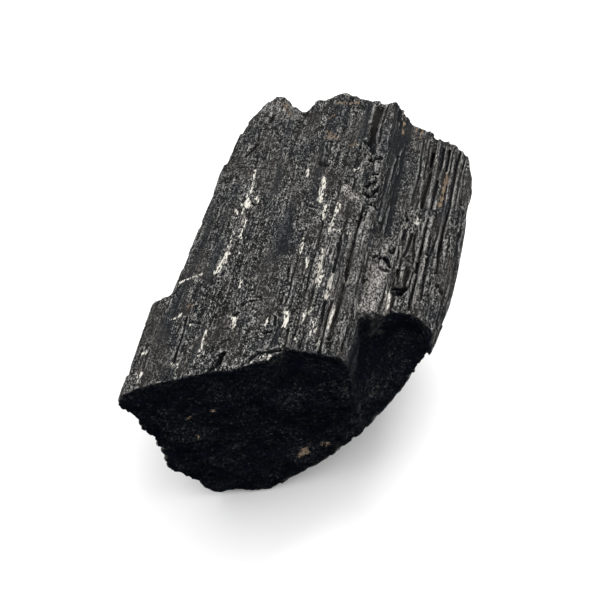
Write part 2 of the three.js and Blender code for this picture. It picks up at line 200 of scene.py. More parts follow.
# What stands proud of those faces, in mm: path, half width, height
RISES = [
    ([(8.7, 15), (8.8, 30), (8.6, 49)], 0.9, 0.35),
    ([(3.4, 15), (3.5, 28), (3.4, 42)], 0.6, 0.2),
    ([(6.4, 27), (6.2, 38)], 0.3, 0.25),
    ([(-1.6, 57), (-1.3, 51.4)], 0.5, 0.3),
    ([(2.4, 51.2), (2.4, 44)], 0.3, 0.25),
    ([(-2.6, 69), (-2.5, 61.8)], 0.6, 0.35),
    ([(7.7, 56.6), (7.9, 55.3)], 0.4, 0.5),
    ([(9.2, 50.8), (10.2, 49.4)], 0.7, 0.4),
    ([(7.4, 62.6), (8.6, 61)], 0.8, 0.35),
    ([(10.8, 27.2), (11.7, 27.5)], 0.7, 0.5),
    ([(12.6, 26.9), (13.2, 27.4)], 0.6, 0.6),
    ([(11.4, 29.6), (12, 33.4)], 0.9, 0.4),
    ([(13.2, 31), (13.4, 35)], 0.6, 0.4),
    ([(15.5, 34.2), (15.5, 29.2)], 0.5, 0.9),
    ([(17.2, 64.4), (16.9, 59)], 0.35, 0.5),
    ([(18.9, 76), (18.9, 58)], 0.5, 0.4),
    ([(20.6, 76), (20.5, 58)], 0.35, 0.35),
    ([(22.6, 76.4), (22.4, 46)], 0.4, 0.35),
    ([(23.7, 76), (23.5, 52)], 0.3, 0.35),
    ([(24.7, 75), (24.6, 58)], 0.3, 0.3),
    ([(17.4, 54.6), (17.8, 52.6)], 0.5, 0.4),
    ([(20.2, 52.8), (20.2, 46.4)], 0.4, 0.4),
    ([(16.9, 41), (16.9, 37.6)], 0.5, 0.5),
    ([(18.4, 41), (18.4, 37.2)], 0.3, 0.4),
    ([(20.4, 40.4), (20.5, 35)], 0.4, 0.3),
]

# Where a face is made of short column ends: path, half width, strength
STEPPED = [
    ([(17.8, 77), (17.6, 58)], 2.0, 0.45),
    ([(18.6, 58), (18.6, 35)], 3.2, 1.0),
    ([(22.6, 52), (22.4, 34)], 1.6, 0.5),
    ([(12.2, 46), (12.4, 36)], 1.6, 0.7),
    ([(12.4, 34), (12.4, 28)], 1.8, 0.6),
    ([(7.4, 62), (8.4, 50)], 2.0, 1.0),
    ([(3.4, 57), (4.4, 50)], 2.2, 0.6),
    ([(4.6, 50), (4.2, 15)], 4.4, 0.45),
    ([(5.4, 80), (5.4, 66)], 1.6, 0.8),
    ([(-2.6, 71), (-2.6, 61)], 0.9, 0.5),
    ([(-15.2, 79), (-12, 74)], 3.0, 0.5),
    ([(-12, 17), (-11, 7)], 2.4, 0.4),
    ([(-3.6, 34), (-3.4, 13)], 1.0, 0.5),
    ([(-15.4, 52), (-15.2, 44)], 1.6, 0.4),
]

# White mica and feldspar flecks, and a few painted glints and a painted highlight in the same
# cream-white, in mm: a path of (u, along) points, half width, strength
FLECKS_AND_GLINTS = [
    ([(-15.7, 57.5), (-15.5, 54.5), (-15.2, 51)], 0.14, 0.9),
    ([(-15.5, 50.6), (-15.1, 47)], 0.25, 0.9),
    ([(-16.3, 49.2), (-15.7, 45.6)], 0.22, 0.8),
    ([(-13.8, 50.2), (-13.4, 49.2)], 0.29, 1.0),
    ([(-14.7, 48.5), (-14.2, 47)], 0.22, 0.8),
    ([(-16.9, 46.3), (-16.4, 44.2)], 0.18, 0.7),
    ([(-14.4, 45), (-14.4, 39)], 0.14, 0.85),
    ([(-16.1, 41), (-16.2, 36.5)], 0.13, 0.6),
    ([(-15.9, 34.8), (-16.3, 32.2), (-17, 29.7)], 0.36, 1.0),
    ([(-13.7, 35.6), (-13.8, 34.8)], 0.18, 0.7),
    ([(-11.8, 28.7), (-11.7, 27)], 0.18, 0.9),
    ([(-1.6, 57.2), (-1.6, 55.5)], 0.36, 1.0),
    ([(-1.4, 56.4), (-1.4, 53.6), (-1.2, 51.2)], 0.43, 1.0),
    ([(0.1, 50.2), (0.4, 46.8)], 0.25, 0.95),
    ([(2.7, 51.2), (2.4, 47.5), (2.1, 43)], 0.25, 0.95),
    ([(2.4, 44), (4.4, 44.3), (6.2, 43.6)], 0.13, 0.7),
    ([(3.8, 45), (5, 43)], 0.13, 0.6),
    ([(1.9, 38.6), (2.1, 31)], 0.29, 0.95),
    ([(2.5, 34.2), (2.9, 31.6), (2.6, 29.5)], 0.36, 0.75),
    ([(4.8, 33.2), (4.7, 27.5)], 0.29, 0.9),
    ([(-0.6, 36.2), (-0.5, 34)], 0.18, 0.85),
    ([(-2.4, 41), (-2.2, 37)], 0.18, 0.8),
    ([(-5.3, 59.5), (-5.1, 57.6)], 0.18, 0.85),
    ([(-11.2, 19.7), (-10.7, 18.8), (-10.9, 17.6)], 0.43, 0.9),
    ([(-1.8, 22.4), (-1.3, 20.4), (-1.6, 19)], 0.32, 0.95),
    ([(-4.9, 20.6), (-4.9, 19)], 0.22, 0.85),
    ([(1.2, 20.8), (1.5, 22.8), (2.7, 24.6)], 0.29, 0.8),
    ([(3.2, 22), (4.2, 20), (3.4, 18.2)], 0.29, 0.75),
    ([(1, 17), (1, 17.3)], 0.25, 1.0),
    ([(5.2, 16.4), (5.2, 16.9)], 0.25, 1.0),
    ([(6.7, 24.5), (6.4, 20.2)], 0.22, 0.8),
    ([(-19.4, 7.3), (-18.6, 6.7)], 0.32, 1.0),
    ([(-18.6, 17), (-18.6, 16)], 0.18, 0.8),
    ([(-25.9, 5.2), (-25.4, 4.4)], 0.18, 0.7),
    ([(-24.9, 5.4), (-24.9, 3.4)], 0.18, 0.75),
    ([(-26.1, 10.2), (-25.6, 10.3)], 0.25, 0.8),
    ([(-22.5, 18), (-21.7, 18.4), (-21, 19.6)], 0.18, 0.7),
    ([(-23.9, 26.5), (-21.8, 28.2), (-19.6, 29.3)], 0.14, 0.55),
    ([(-6.2, 9.6), (-2.6, 12.4)], 0.13, 0.5),
    ([(-2.9, 11), (-2.6, 12.2)], 0.18, 0.7),
    ([(-15.3, 16), (-15.3, 9.6)], 0.13, 0.55),
    ([(7, 33), (7.9, 31.2)], 0.22, 0.6),
    ([(3.6, 60.5), (5.2, 61.5)], 0.18, 0.5),
    # painted glints: the next three marks, two specks on the lower strip and a streak on the ridge beside the
    # ledge
    ([(17.6, 53), (17.9, 54.2)], 0.32, 0.8),
    ([(15.8, 53.6), (15.8, 52.4)], 0.22, 0.7),
    ([(15.2, 33.6), (15.6, 31.4), (15.3, 29.4)], 0.36, 0.8),
    # painted highlight: the next three marks along the rim of the ledge's front lip
    ([(10.3, 28.3), (11.2, 28.8), (12.6, 28.5)], 0.14, 0.7),
    ([(10.2, 26.6), (11.2, 26.3), (12, 26.5)], 0.14, 0.7),
    ([(12.8, 27.8), (13.6, 27.6)], 0.2, 0.7),
    ([(19, 70.6), (19, 72.4)], 0.22, 0.5),
]

# Iron stain, in mm: a path of (u, along) points, half width, strength
STAINS = [
    ([(-3.4, 70.8), (-2.6, 69.8), (-1.7, 68.9)], 0.3, 0.85),
    ([(-3.6, 68.6), (-1.4, 68.5)], 0.2, 0.7),
    ([(1.8, 67.4), (2.8, 67.7)], 0.25, 0.8),
    ([(-3, 79.2), (-0.6, 79.8), (1.6, 80.2)], 0.24, 0.8),
    ([(-14, 78.2), (-13, 76.4), (-12.2, 75)], 0.4, 0.5),
    ([(-17, 80.2), (-16.2, 80.6)], 0.3, 0.6),
    ([(-3.6, 74.6), (-3.4, 75.6)], 0.3, 0.6),
    ([(-20, 21.2), (-19.4, 21.9)], 0.4, 0.6),
    ([(10.8, 82), (10.9, 77)], 0.2, 0.9),
    ([(21.6, 68.2), (21.5, 63), (21.3, 59.5)], 0.3, 0.9),
    ([(14.6, 79.2), (14.8, 77.2)], 0.35, 0.6),
    ([(13.4, 80), (14, 78)], 0.3, 0.4),
]

# Paler, rougher ground where the glassy skin is gone, with a painted highlight on the ledge's lip and a
# painted glint on the ridge beside it, in mm: path, half width, strength
FROSTED_AND_HIGHLIGHT = [
    ([(3, 55.4), (4.2, 54), (6.4, 53)], 1.1, 0.9),
    ([(8.8, 28), (8.8, 40), (8.9, 51)], 0.9, 0.4),
    ([(9.2, 51), (10.4, 49.4)], 0.6, 0.8),
    ([(7.6, 56.4), (7.9, 55.2)], 0.4, 0.8),
    ([(8.5, 49.2), (9.2, 50.8)], 0.6, 0.9),
    ([(12.4, 28.5), (12.4, 33), (12.6, 38)], 1.9, 1.0),
    ([(12.3, 38), (12.2, 43), (12.6, 47.5)], 1.8, 0.55),
    # the ledge's lip: pale ground with a painted highlight on its rim; then the ridge beside it, pale with a
    # painted glint
    ([(10.4, 27.6), (13.4, 27.6)], 0.8, 1.0),
    ([(15.3, 34), (15.3, 29)], 0.6, 0.8),
    ([(14.2, 56.5), (14.1, 79)], 1.5, 0.3),
    ([(-2.2, 57), (-1.4, 50.8)], 1.1, 0.3),
    ([(2.4, 52), (2.6, 30)], 1.6, 0.35),
    ([(-15.4, 56), (-15.2, 44), (-16.4, 30)], 1.0, 0.3),
    ([(1.5, 24.5), (3.4, 18.5)], 2.2, 0.35),
    ([(-17, 77), (-14, 75.5), (-11.6, 75)], 2.2, 0.55),
]

# The smooth bluish trough between the two strips, in mm; the material darkens it as painted shade
TROUGH = ([(11.1, 84.0), (11.0, 66.0), (11.2, 48.0)], 1.5, 1.0)

# Dust that greys the breaks, in mm: a path of (u, v) points, half width, strength
DUSTY = [
    ([(9.6, -2), (10.4, -12), (11.4, -24), (11, -33)], 1.0, 0.35),
    ([(-4, -24), (1, -30), (7, -30)], 2.5, 0.35),
    ([(-22, -10), (-14, -26), (-8, -34)], 1.6, 0.3),
]

# Stained grains on the near break, in mm: u, v, half width, strength
BREAK_GRAINS = [
    (-12.9, -11.8, 0.35, 0.9),
    (-17.5, -13.2, 0.25, 0.8),
    (-15.9, -18.4, 0.35, 0.5),
    (-1.1, -22.1, 0.3, 0.6),
    (1.9, -31.2, 0.8, 0.9),
    (2.2, -30.2, 0.6, 0.9),
    (6.4, -28.4, 0.6, 0.8),
    (5.6, -28.8, 0.4, 0.6),
]


def linear(colour):
    """A #rrggbb sRGB colour as linear red, green, blue and alpha"""
    channels = [int(colour[i : i + 2], 16) / 255 for i in (1, 3, 5)]
    return [c / 12.92 if c <= 0.04045 else ((c + 0.055) / 1.055) ** 2.4 for c in channels] + [1.0]


def add(tree, kind, settings=None, links=None):
    """Adds a node: settings are its own options or its sockets' values, links are what feeds it"""
    node = tree.nodes.new(kind)
    for name, value in (settings or {}).items():
        if isinstance(name, str) and name in node.bl_rna.properties:
            setattr(node, name, value)
        else:
            node.inputs[name].default_value = value
    for name, source in (links or {}).items():
        tree.links.new(source.outputs[0] if hasattr(source, "outputs") else source, node.inputs[name])
    return node


def weighted_sum(tree, parts):
    """Adds up sources, each times its weight, which is a number or another source"""
    total = None
    for source, weight in parts:
        settings, links = {"operation": "MULTIPLY_ADD", 2: 0.0}, {0: source}
        if isinstance(weight, float):
            settings[1] = weight
        else:
            links[1] = weight
        if total is not None:
            links[2] = total
        total = add(tree, "ShaderNodeMath", settings, links)
    return total


def ramp(tree, level, stops):
    """A colour ramp fed by level, from its stops in rising order: position, colour"""
    node = add(tree, "ShaderNodeValToRGB", None, {"Fac": level})
    elements = node.color_ramp.elements
    elements.remove(elements[1])
    elements[0].position, elements[0].color = stops[0]
    for position, colour in stops[1:]:
        elements.new(position).color = colour
    return node.outputs["Color"]


def ease(low, high, x):
    """0 at low, 1 at high, smooth between, for low above high too"""
    t = np.clip((x - low) / (high - low), 0, 1)
    return t * t * (3 - 2 * t)


def path_distance(points, u, along):
    """How far each (u, along) is from a path of points, in mm"""
    best = np.full(u.shape, 1e9)
    for (u0, a0), (u1, a1) in zip(points[:-1], points[1:]):
        du, da = u1 - u0, a1 - a0
        t = np.clip(((u - u0) * du + (along - a0) * da) / (du * du + da * da + 1e-9), 0, 1)
        best = np.minimum(best, np.hypot(u - u0 - t * du, along - a0 - t * da))
    return best


def wander(along, phase, reach):
    """A slow sideways drift along the axis, in mm"""
    return reach * (np.sin(along / 3.1 + phase) + 0.6 * np.sin(along / 1.3 + 2.3 * phase))


def values_of(items, name, width=1, kind=np.float32):
    """One property of every vertex, edge or attribute value, in rows where its width is more than 1"""
    values = np.empty(len(items) * width, kind)
    items.foreach_get(name, values)
    return values.reshape(-1, width) if width > 1 else values


def places_of(mesh, name="co"):
    """Each vertex's place, or its normal, as rows of three numbers"""
    return values_of(mesh.vertices, name, 3).astype(float)


def move_vertices(mesh, places):
    """Puts every vertex at its new place"""
    mesh.vertices.foreach_set("co", places.ravel())
    mesh.update()


def crystal_frame(mesh):
    """Each vertex's u, along and v in mm, and its normal in the same frame"""
    turn = np.array([(1, 0, 0), AXIS, FACE_OUT]).T
    return (places_of(mesh) / MM - np.array(CRYSTAL_ORIGIN)) @ turn, places_of(mesh, "normal") @ turn


def store(mesh, name, values):
    """Keeps one number per vertex under a name"""
    attribute = mesh.attributes.get(name) or mesh.attributes.new(name, "FLOAT", "POINT")
    attribute.data.foreach_set("value", np.asarray(values, np.float32))


def blurred(mesh, values, rounds):
    """values averaged over each vertex's neighbours, rounds times"""
    one, two = values_of(mesh.edges, "vertices", 2, np.int32).T
    count = len(mesh.vertices)
    share = np.bincount(one, minlength=count) + np.bincount(two, minlength=count) + 1
    for _ in range(rounds):
        total = values.copy()
        for axis in range(values.shape[1]):
            total[:, axis] += np.bincount(one, values[two, axis], count)
            total[:, axis] += np.bincount(two, values[one, axis], count)
        values = total / share[:, None]
    return values


class TOURMALINE_PG_crystal(bpy.types.PropertyGroup):
    voxel: FloatProperty(name="Surface step", description="Spacing of the surface before it is thinned",
                         default=0.2 * MM, unit="LENGTH", precision=5)
    soften: IntProperty(name="Softening", description="Rounds of smoothing over the plain solid's facets",
                        default=10, min=0)
    rib_width: FloatProperty(name="Rib width", description="Usual width of a rib along the prism",
                             default=2.1 * MM, unit="LENGTH", precision=5)
    rib_depth: FloatProperty(name="Rib depth", description="Height of the ribs on the ribbed strips",
                             default=0.55 * MM, unit="LENGTH", precision=5)
    line_width: FloatProperty(name="Striation width", description="Usual width of a fine striation",
                              default=0.75 * MM, unit="LENGTH", precision=5)
    line_depth: FloatProperty(name="Striation depth", description="Height of the fine striations",
                              default=0.34 * MM, unit="LENGTH", precision=5)
    block_width: FloatProperty(name="Block width",
                               description="Width of the short column ends on a prism face",
                               default=1.1 * MM, unit="LENGTH", precision=5)
    block_step: FloatProperty(name="Block step", description="How far those ends differ in height",
                              default=0.9 * MM, unit="LENGTH", precision=5)
    etch_width: FloatProperty(name="Etch width", description="Width of the worn lumps on a prism face",
                              default=1.2 * MM, unit="LENGTH", precision=5)
    etch_depth: FloatProperty(name="Etch depth", description="Height of the worn lumps on a prism face",
                              default=0.3 * MM, unit="LENGTH", precision=5)
    column_width: FloatProperty(name="Column width",
                                description="Width of the small columns that end in a break",
                                default=1.5 * MM, unit="LENGTH", precision=5)
    column_step: FloatProperty(name="Column step", description="How far the columns' ends differ",
                               default=0.42 * MM, unit="LENGTH", precision=5)
    break_width: FloatProperty(name="Break lump", description="Width of the lumps on a break",
                               default=3.4 * MM, unit="LENGTH", precision=5)
    break_depth: FloatProperty(name="Break depth", description="Height of the lumps on a break",
                               default=0.9 * MM, unit="LENGTH", precision=5)
    triangles: IntProperty(name="Triangles", description="Most triangles that the finished stone has",
                           default=196000, min=1000)
    seed: FloatProperty(name="Seed", description="Picks the pattern of ribs, striations and lumps", default=3.7)
    skin: FloatVectorProperty(name="Skin colour", description="The dull black of the prism faces",
                              subtype="COLOR", size=4, default=linear("#212325"))
    # the pit colour also paints the shade in the hollows and the deep cuts
    pit_and_shade: FloatVectorProperty(name="Pit colour", description="The black in the pits of the grain",
                             subtype="COLOR", size=4, default=linear("#060607"))
    # the worn colour also paints part of the highlight on the ridges
    worn_and_highlight: FloatVectorProperty(name="Worn colour", description="The grey of the worn, dusty tops",
                              subtype="COLOR", size=4, default=linear("#454646"))
    broken: FloatVectorProperty(name="Break colour", description="The black of a fresh break",
                                subtype="COLOR", size=4, default=linear("#060c16"))
    blue: FloatVectorProperty(name="Trough colour", description="The blue-black of the smooth trough",
                              subtype="COLOR", size=4, default=linear("#181f26"))
    dust: FloatVectorProperty(name="Dust colour", description="Brown-grey of the dust on the prism faces",
                              subtype="COLOR", size=4, default=linear("#2f2b27"))
    # the frosted colour also paints the highlight on the ridges and on the ledge's lip
    frost_and_highlight: FloatVectorProperty(name="Frosted colour", description="Pale grey of ground with its skin gone",
                               subtype="COLOR", size=4, default=linear("#afaca7"))
    # the fleck colour also paints a few glints and the highlight on the ledge's lip
    fleck_and_glint: FloatVectorProperty(name="Fleck colour", description="Cream-white of the mica and feldspar",
                               subtype="COLOR", size=4, default=linear("#dcd8cd"))
    stain: FloatVectorProperty(name="Stain colour", description="Dull tan of the iron stain",
                               subtype="COLOR", size=4, default=linear("#7d6a55"))


class TOURMALINE_PG_stage(bpy.types.PropertyGroup):
    floor_size: FloatProperty(name="Floor size", description="Side of the square floor", default=6.0,
                              unit="LENGTH")
    floor_colour: FloatVectorProperty(name="Floor colour", description="Near-white matt floor",
                                      subtype="COLOR", size=4, default=linear("#f6f6f6"))
    key_size: FloatProperty(name="Softbox size", description="Width of the soft light over the stone",
                            default=0.2, unit="LENGTH")
    key_power: FloatProperty(name="Softbox power", description="Power of the soft light", default=1.0,
                             unit="POWER")
    side_power: FloatProperty(name="Side light power", description="Power of the low light at the right",
                              default=0.7, unit="POWER")
    back_power: FloatProperty(name="Back light power",
                              description="Power of the light that makes the soft shadow",
                              default=1.7, unit="POWER")
    sky: FloatProperty(name="Sky light", description="Soft light from all round", default=1.05, min=0)
    sky_lean: FloatVectorProperty(name="Sky lean",
                                  description="How much brighter the sky is towards each side",
                                  size=3, default=(-0.05, -0.3, 0.5))


def relief_tree(sizes):
    """The relief as a node tree: ribs, striations, worn lumps and short columns on the faces, lumps and
    column ends on the breaks"""
    tree = bpy.data.node_groups.new("stone_relief", "GeometryNodeTree")
    tree.interface.new_socket("Geometry", in_out="INPUT", socket_type="NodeSocketGeometry")
    for name in ("rib_width", "rib_depth", "line_width", "line_depth", "etch_width", "etch_depth",
                 "block_width", "block_step", "column_width", "column_step", "break_width", "break_depth",
                 "seed"):
        label = sizes.bl_rna.properties[name].name
        tree.interface.new_socket(label, in_out="INPUT", socket_type="NodeSocketFloat")
    tree.interface.new_socket("Material", in_out="INPUT", socket_type="NodeSocketMaterial")
    tree.interface.new_socket("Geometry", in_out="OUTPUT", socket_type="NodeSocketGeometry")
    given = add(tree, "NodeGroupInput").outputs
    place = add(tree, "GeometryNodeInputPosition")
    centred = add(tree, "ShaderNodeVectorMath", {"operation": "SUBTRACT", 1: CRYSTAL_ORIGIN * MM}, {0: place})
    crystal = add(tree, "ShaderNodeVectorRotate", {"rotation_type": "X_AXIS", "Angle": -AXIS_LEAN},
                  {"Vector": centred})
    relief = {}
    for name, width, depth, stretch, detail in (
        ("ribs", "Rib width", "Rib depth", 26.0, 1.0),
        ("lines", "Striation width", "Striation depth", 16.0, 2.0),
        ("etch", "Etch width", "Etch depth", 2.2, 3.0),
        ("lumps", "Break lump", "Break depth", 0.8, 4.0),
    ):
        long = add(tree, "ShaderNodeMath", {"operation": "MULTIPLY", 1: stretch}, {0: given[width]})
        cell = add(tree, "ShaderNodeCombineXYZ", None, {"X": given[width], "Y": long, "Z": given[width]})
        scaled = add(tree, "ShaderNodeVectorMath", {"operation": "DIVIDE"}, {0: crystal, 1: cell})
        noise = add(tree, "ShaderNodeTexNoise", {"noise_dimensions": "4D", "Scale": 1.0, "Detail": detail},
                    {"Vector": scaled, "W": given["Seed"]})
        centre = add(tree, "ShaderNodeMath", {"operation": "SUBTRACT", 1: 0.5}, {0: noise})
        relief[name] = add(tree, "ShaderNodeMath", {"operation": "MULTIPLY"}, {0: centre, 1: given[depth]})
    # short columns on the faces and column ends on the breaks: each cell stands at its own height
    for name, width, step, shape, metric in (
        ("blocks", "Block width", "Block step", (1, 0.14, 1), "CHEBYCHEV"),
        ("columns", "Column width", "Column step", (1, 0.12, 1), "EUCLIDEAN"),
    ):
        flat = add(tree, "ShaderNodeVectorMath", {"operation": "MULTIPLY", 1: shape}, {0: crystal})
        cells = add(tree, "ShaderNodeVectorMath", {"operation": "DIVIDE"}, {0: flat, 1: given[width]})
        ends = add(tree, "ShaderNodeTexVoronoi", {"feature": "F1", "distance": metric, "Scale": 1.0},
                   {"Vector": cells})
        height = add(tree, "ShaderNodeSeparateXYZ", None, {0: ends.outputs["Color"]})
        centre = add(tree, "ShaderNodeMath", {"operation": "SUBTRACT", 1: 0.55}, {0: height})
        relief[name] = add(tree, "ShaderNodeMath", {"operation": "MULTIPLY"}, {0: centre, 1: given[step]})
    masks = {}
    for name in ("ribbed", "stepped", "etched", "broken", "carve"):
        masks[name] = add(tree, "GeometryNodeInputNamedAttribute", {"data_type": "FLOAT", "Name": name})
    total = weighted_sum(tree, [(relief[name], masks[mask]) for name, mask in (
        ("ribs", "ribbed"), ("lines", "ribbed"), ("blocks", "stepped"), ("etch", "etched"),
        ("lumps", "broken"), ("columns", "broken"))])
    normal = add(tree, "GeometryNodeInputNormal")
    out = add(tree, "ShaderNodeVectorMath", {"operation": "SCALE"}, {0: normal, "Scale": total})
    cut = add(tree, "ShaderNodeVectorMath", {"operation": "SCALE", 0: FACE_OUT}, {"Scale": masks["carve"]})
    move = add(tree, "ShaderNodeVectorMath", {"operation": "SUBTRACT"}, {0: out, 1: cut})
    moved = add(tree, "GeometryNodeSetPosition", None, {"Geometry": given["Geometry"], "Offset": move})
    real = add(tree, "GeometryNodeRealizeInstances", None, {0: moved})
    dressed = add(tree, "GeometryNodeSetMaterial", None, {"Geometry": real, "Material": given["Material"]})
    add(tree, "NodeGroupOutput", None, {"Geometry": dressed})
    return tree


def stone_material(colours):
    """Schorl, as grown and broken: a dull glassy black. Worn, etched prism faces catch the light as grey
    grain and short streaks, breaks stay nearly black, and mica, feldspar and iron stain lie on the faces.
    Painted shade darkens the hollows, the deep cuts and the trough, and painted highlight lightens the
    ridges, the ledge's lip and a few glints among the flecks."""
    material = bpy.data.materials.new("schorl_worn_and_broken")
    material.use_nodes = True
    tree = material.node_tree
    tree.nodes.clear()
    turned = Matrix.Rotation(-AXIS_LEAN, 3, "X") @ CRYSTAL_ORIGIN
    coordinates = add(tree, "ShaderNodeTexCoord")
    crystal = add(tree, "ShaderNodeMapping", {"Scale": (1 / MM,) * 3, "Rotation": (-AXIS_LEAN, 0, 0),
                                              "Location": -turned}, {"Vector": coordinates.outputs["Object"]})
    marks = {}
    for name in ("broken", "hollow", "fleck_and_glint", "stain", "frost_and_highlight", "trough", "dusty"):
        marks[name] = add(tree, "ShaderNodeAttribute", {"attribute_name": name}).outputs["Fac"]
    noise = {}
    for name, size, detail, rough in (
        # Sizes in mm across, along and out of the face. The finest are drawn as coarse as they need to be
        # to show, which is coarser than the real grain.
        ("grain", (0.17, 0.27, 0.17), 1.0, 0.7),
        ("crumb", (0.22, 0.8, 0.22), 1.0, 0.6),
        ("lump", (1.0, 1.6, 1.0), 1.0, 0.6),
        ("streak", (0.3, 6.0, 0.3), 1.0, 0.6),
        ("band", (2.6, 24.0, 2.6), 1.0, 0.5),
        ("patch", (5.0, 9.0, 5.0), 1.0, 0.5),
        ("clot", (0.5, 0.7, 0.5), 2.0, 0.7),
        ("chip", (0.7, 0.35, 0.4), 1.5, 0.6),
    ):
        scaled = add(tree, "ShaderNodeVectorMath", {"operation": "DIVIDE", 1: size}, {0: crystal})
        noise[name] = add(tree, "ShaderNodeTexNoise", {"Scale": 1.0, "Detail": detail, "Roughness": rough},
                          {"Vector": scaled})
    # small crystal grains and longer shards, each with its own tone, and the grains with their own tilt
    cells = {}
    for name, size in (("cell", (0.2, 0.32, 0.2)), ("shard", (0.2, 0.75, 0.2))):
        scaled = add(tree, "ShaderNodeVectorMath", {"operation": "DIVIDE", 1: size}, {0: crystal})
        cells[name] = add(tree, "ShaderNodeTexVoronoi", {"feature": "F1", "Scale": 1.0}, {"Vector": scaled})
        noise[name] = add(tree, "ShaderNodeSeparateXYZ", None, {0: cells[name].outputs["Color"]})
    # where the glassy skin is left, in long bands, the grain is faint
    skin = add(tree, "ShaderNodeMapRange", {"From Min": 0.56, "From Max": 0.68}, {"Value": noise["band"]})
    skin = add(tree, "ShaderNodeMath", {"operation": "MAXIMUM"}, {0: skin, 1: marks["trough"]})
    grainy = add(tree, "ShaderNodeMapRange", {"To Min": 1.0, "To Max": 0.45}, {"Value": skin})
    # tone: the grain is dark in its pits and grey on its tops; painted shade darkens the hollows and
    # painted highlight lightens the ridges
    level = weighted_sum(tree, [
        (add(tree, "ShaderNodeMath", {"operation": "SUBTRACT", 1: 0.5}, {0: noise[name]}), amount)
        for name, amount in (("grain", 1.5), ("cell", 0.75), ("shard", 0.3), ("streak", 0.9), ("lump", 0.6))])
    level = add(tree, "ShaderNodeMath", {"operation": "MULTIPLY_ADD", 2: 0.44}, {0: level, 1: grainy})
    # painted shade and highlight: the hollow mark darkens the hollows and lightens the ridges
    level = add(tree, "ShaderNodeMath", {"operation": "MULTIPLY_ADD", 1: -0.3},
                {0: marks["hollow"], 2: level})
    # painted shade: the trough, which faces away from the light, is drawn darker
    level = add(tree, "ShaderNodeMath", {"operation": "MULTIPLY_ADD", 1: -0.12},
                {0: marks["trough"], 2: level})
    tone = ramp(tree, level, [(0.4, colours.pit_and_shade), (0.53, colours.skin), (0.68, colours.worn_and_highlight),
                              (1.0, colours.frost_and_highlight)])
    # brown dust in slow patches, and blue-black in others and where the skin is left
    dust = add(tree, "ShaderNodeMapRange", {"From Min": 0.5, "From Max": 0.62, "To Max": 0.5},
               {"Value": noise["patch"]})
    colour = add(tree, "ShaderNodeMix", {"data_type": "RGBA", 7: colours.dust}, {"Factor": dust, 6: tone})
    cool = add(tree, "ShaderNodeMapRange", {"From Min": 0.46, "From Max": 0.36}, {"Value": noise["patch"]})
    blue = add(tree, "ShaderNodeMath", {"operation": "MAXIMUM"}, {0: skin, 1: cool})
    blue = add(tree, "ShaderNodeMath", {"operation": "MULTIPLY", 1: 0.32}, {0: blue})
    colour = add(tree, "ShaderNodeMix", {"data_type": "RGBA", 7: colours.blue},
                 {"Factor": blue, 6: colour.outputs[2]})
    # the breaks: glassy black facets, greyer in slow patches and where dust lies, bluer elsewhere
    facet = weighted_sum(tree, [(noise["chip"], 0.5), (noise["cell"], 0.5), (noise["patch"], 0.3),
                                (marks["dusty"], 0.12)])
    facets = ramp(tree, facet, [(0.62, colours.broken), (0.78, colours.pit_and_shade), (0.88, colours.skin),
                                (1.0, colours.worn_and_highlight)])
    colour = add(tree, "ShaderNodeMix", {"data_type": "RGBA"},
                 {"Factor": marks["broken"], 6: colour.outputs[2], 7: facets})
    # ground with its skin gone is a mix of brown and pale grains
    pale = add(tree, "ShaderNodeMapRange", {"From Min": 0.35, "From Max": 0.7}, {"Value": noise["cell"]})
    pale = add(tree, "ShaderNodeMix", {"data_type": "RGBA", 6: colours.dust, 7: colours.frost_and_highlight},
               {"Factor": pale})
    # each mark's noise, how much that breaks it up, where it starts and is full, and what shows whole
    soft = {}
    for name, source, amount, low, high, full in (
        ("frost_and_highlight", "clot", 5.0, 0.3, 0.8, 1.0),
        ("stain", "shard", 1.2, 0.45, 0.6, 0.2),
        ("fleck_and_glint", "shard", 2.2, 0.6, 0.66, 0.35),
    ):
        spread = add(tree, "ShaderNodeMath", {"operation": "SUBTRACT", 1: 0.5}, {0: noise[source]})
        edge = add(tree, "ShaderNodeMath", {"operation": "MULTIPLY_ADD", 1: amount},
                   {0: spread, 2: marks[name]})
        inside = add(tree, "ShaderNodeMapRange", {"From Max": full}, {"Value": marks[name]})
        soft[name] = add(tree, "ShaderNodeMapRange", {"From Min": low, "From Max": high}, {"Value": edge})
        soft[name] = add(tree, "ShaderNodeMath", {"operation": "MULTIPLY"}, {0: soft[name], 1: inside})
        links = {"Factor": soft[name], 6: colour.outputs[2]}
        if name == "frost_and_highlight":
            links[7] = pale.outputs[2]
        colour = add(tree, "ShaderNodeMix", {"data_type": "RGBA", 7: getattr(colours, name)}, links)
    # heights of the fine relief
    face = add(tree, "ShaderNodeMath", {"operation": "MULTIPLY"}, {0: noise["grain"], 1: grainy})
    face = add(tree, "ShaderNodeMath", {"operation": "MULTIPLY_ADD", 1: 0.6}, {0: noise["streak"], 2: face})
    rough = add(tree, "ShaderNodeMath", {"operation": "MULTIPLY_ADD", 1: 0.6},
                {0: noise["crumb"], 2: noise["chip"]})
    height = add(tree, "ShaderNodeMix", {"data_type": "FLOAT"},
                 {"Factor": marks["broken"], 2: face, 3: rough})
    bump = add(tree, "ShaderNodeBump", {"Distance": GRAIN_HEIGHT}, {"Height": height})
    tilt = add(tree, "ShaderNodeVectorMath", {"operation": "SUBTRACT", 1: (0.5, 0.5, 0.5)},
               {0: cells["cell"].outputs["Color"]})
    tilt = add(tree, "ShaderNodeVectorMath", {"operation": "SCALE", "Scale": GRAIN_TILT}, {0: tilt})
    facing = add(tree, "ShaderNodeVectorMath", {"operation": "ADD"}, {0: bump, 1: tilt})
    facing = add(tree, "ShaderNodeVectorMath", {"operation": "NORMALIZE"}, {0: facing})
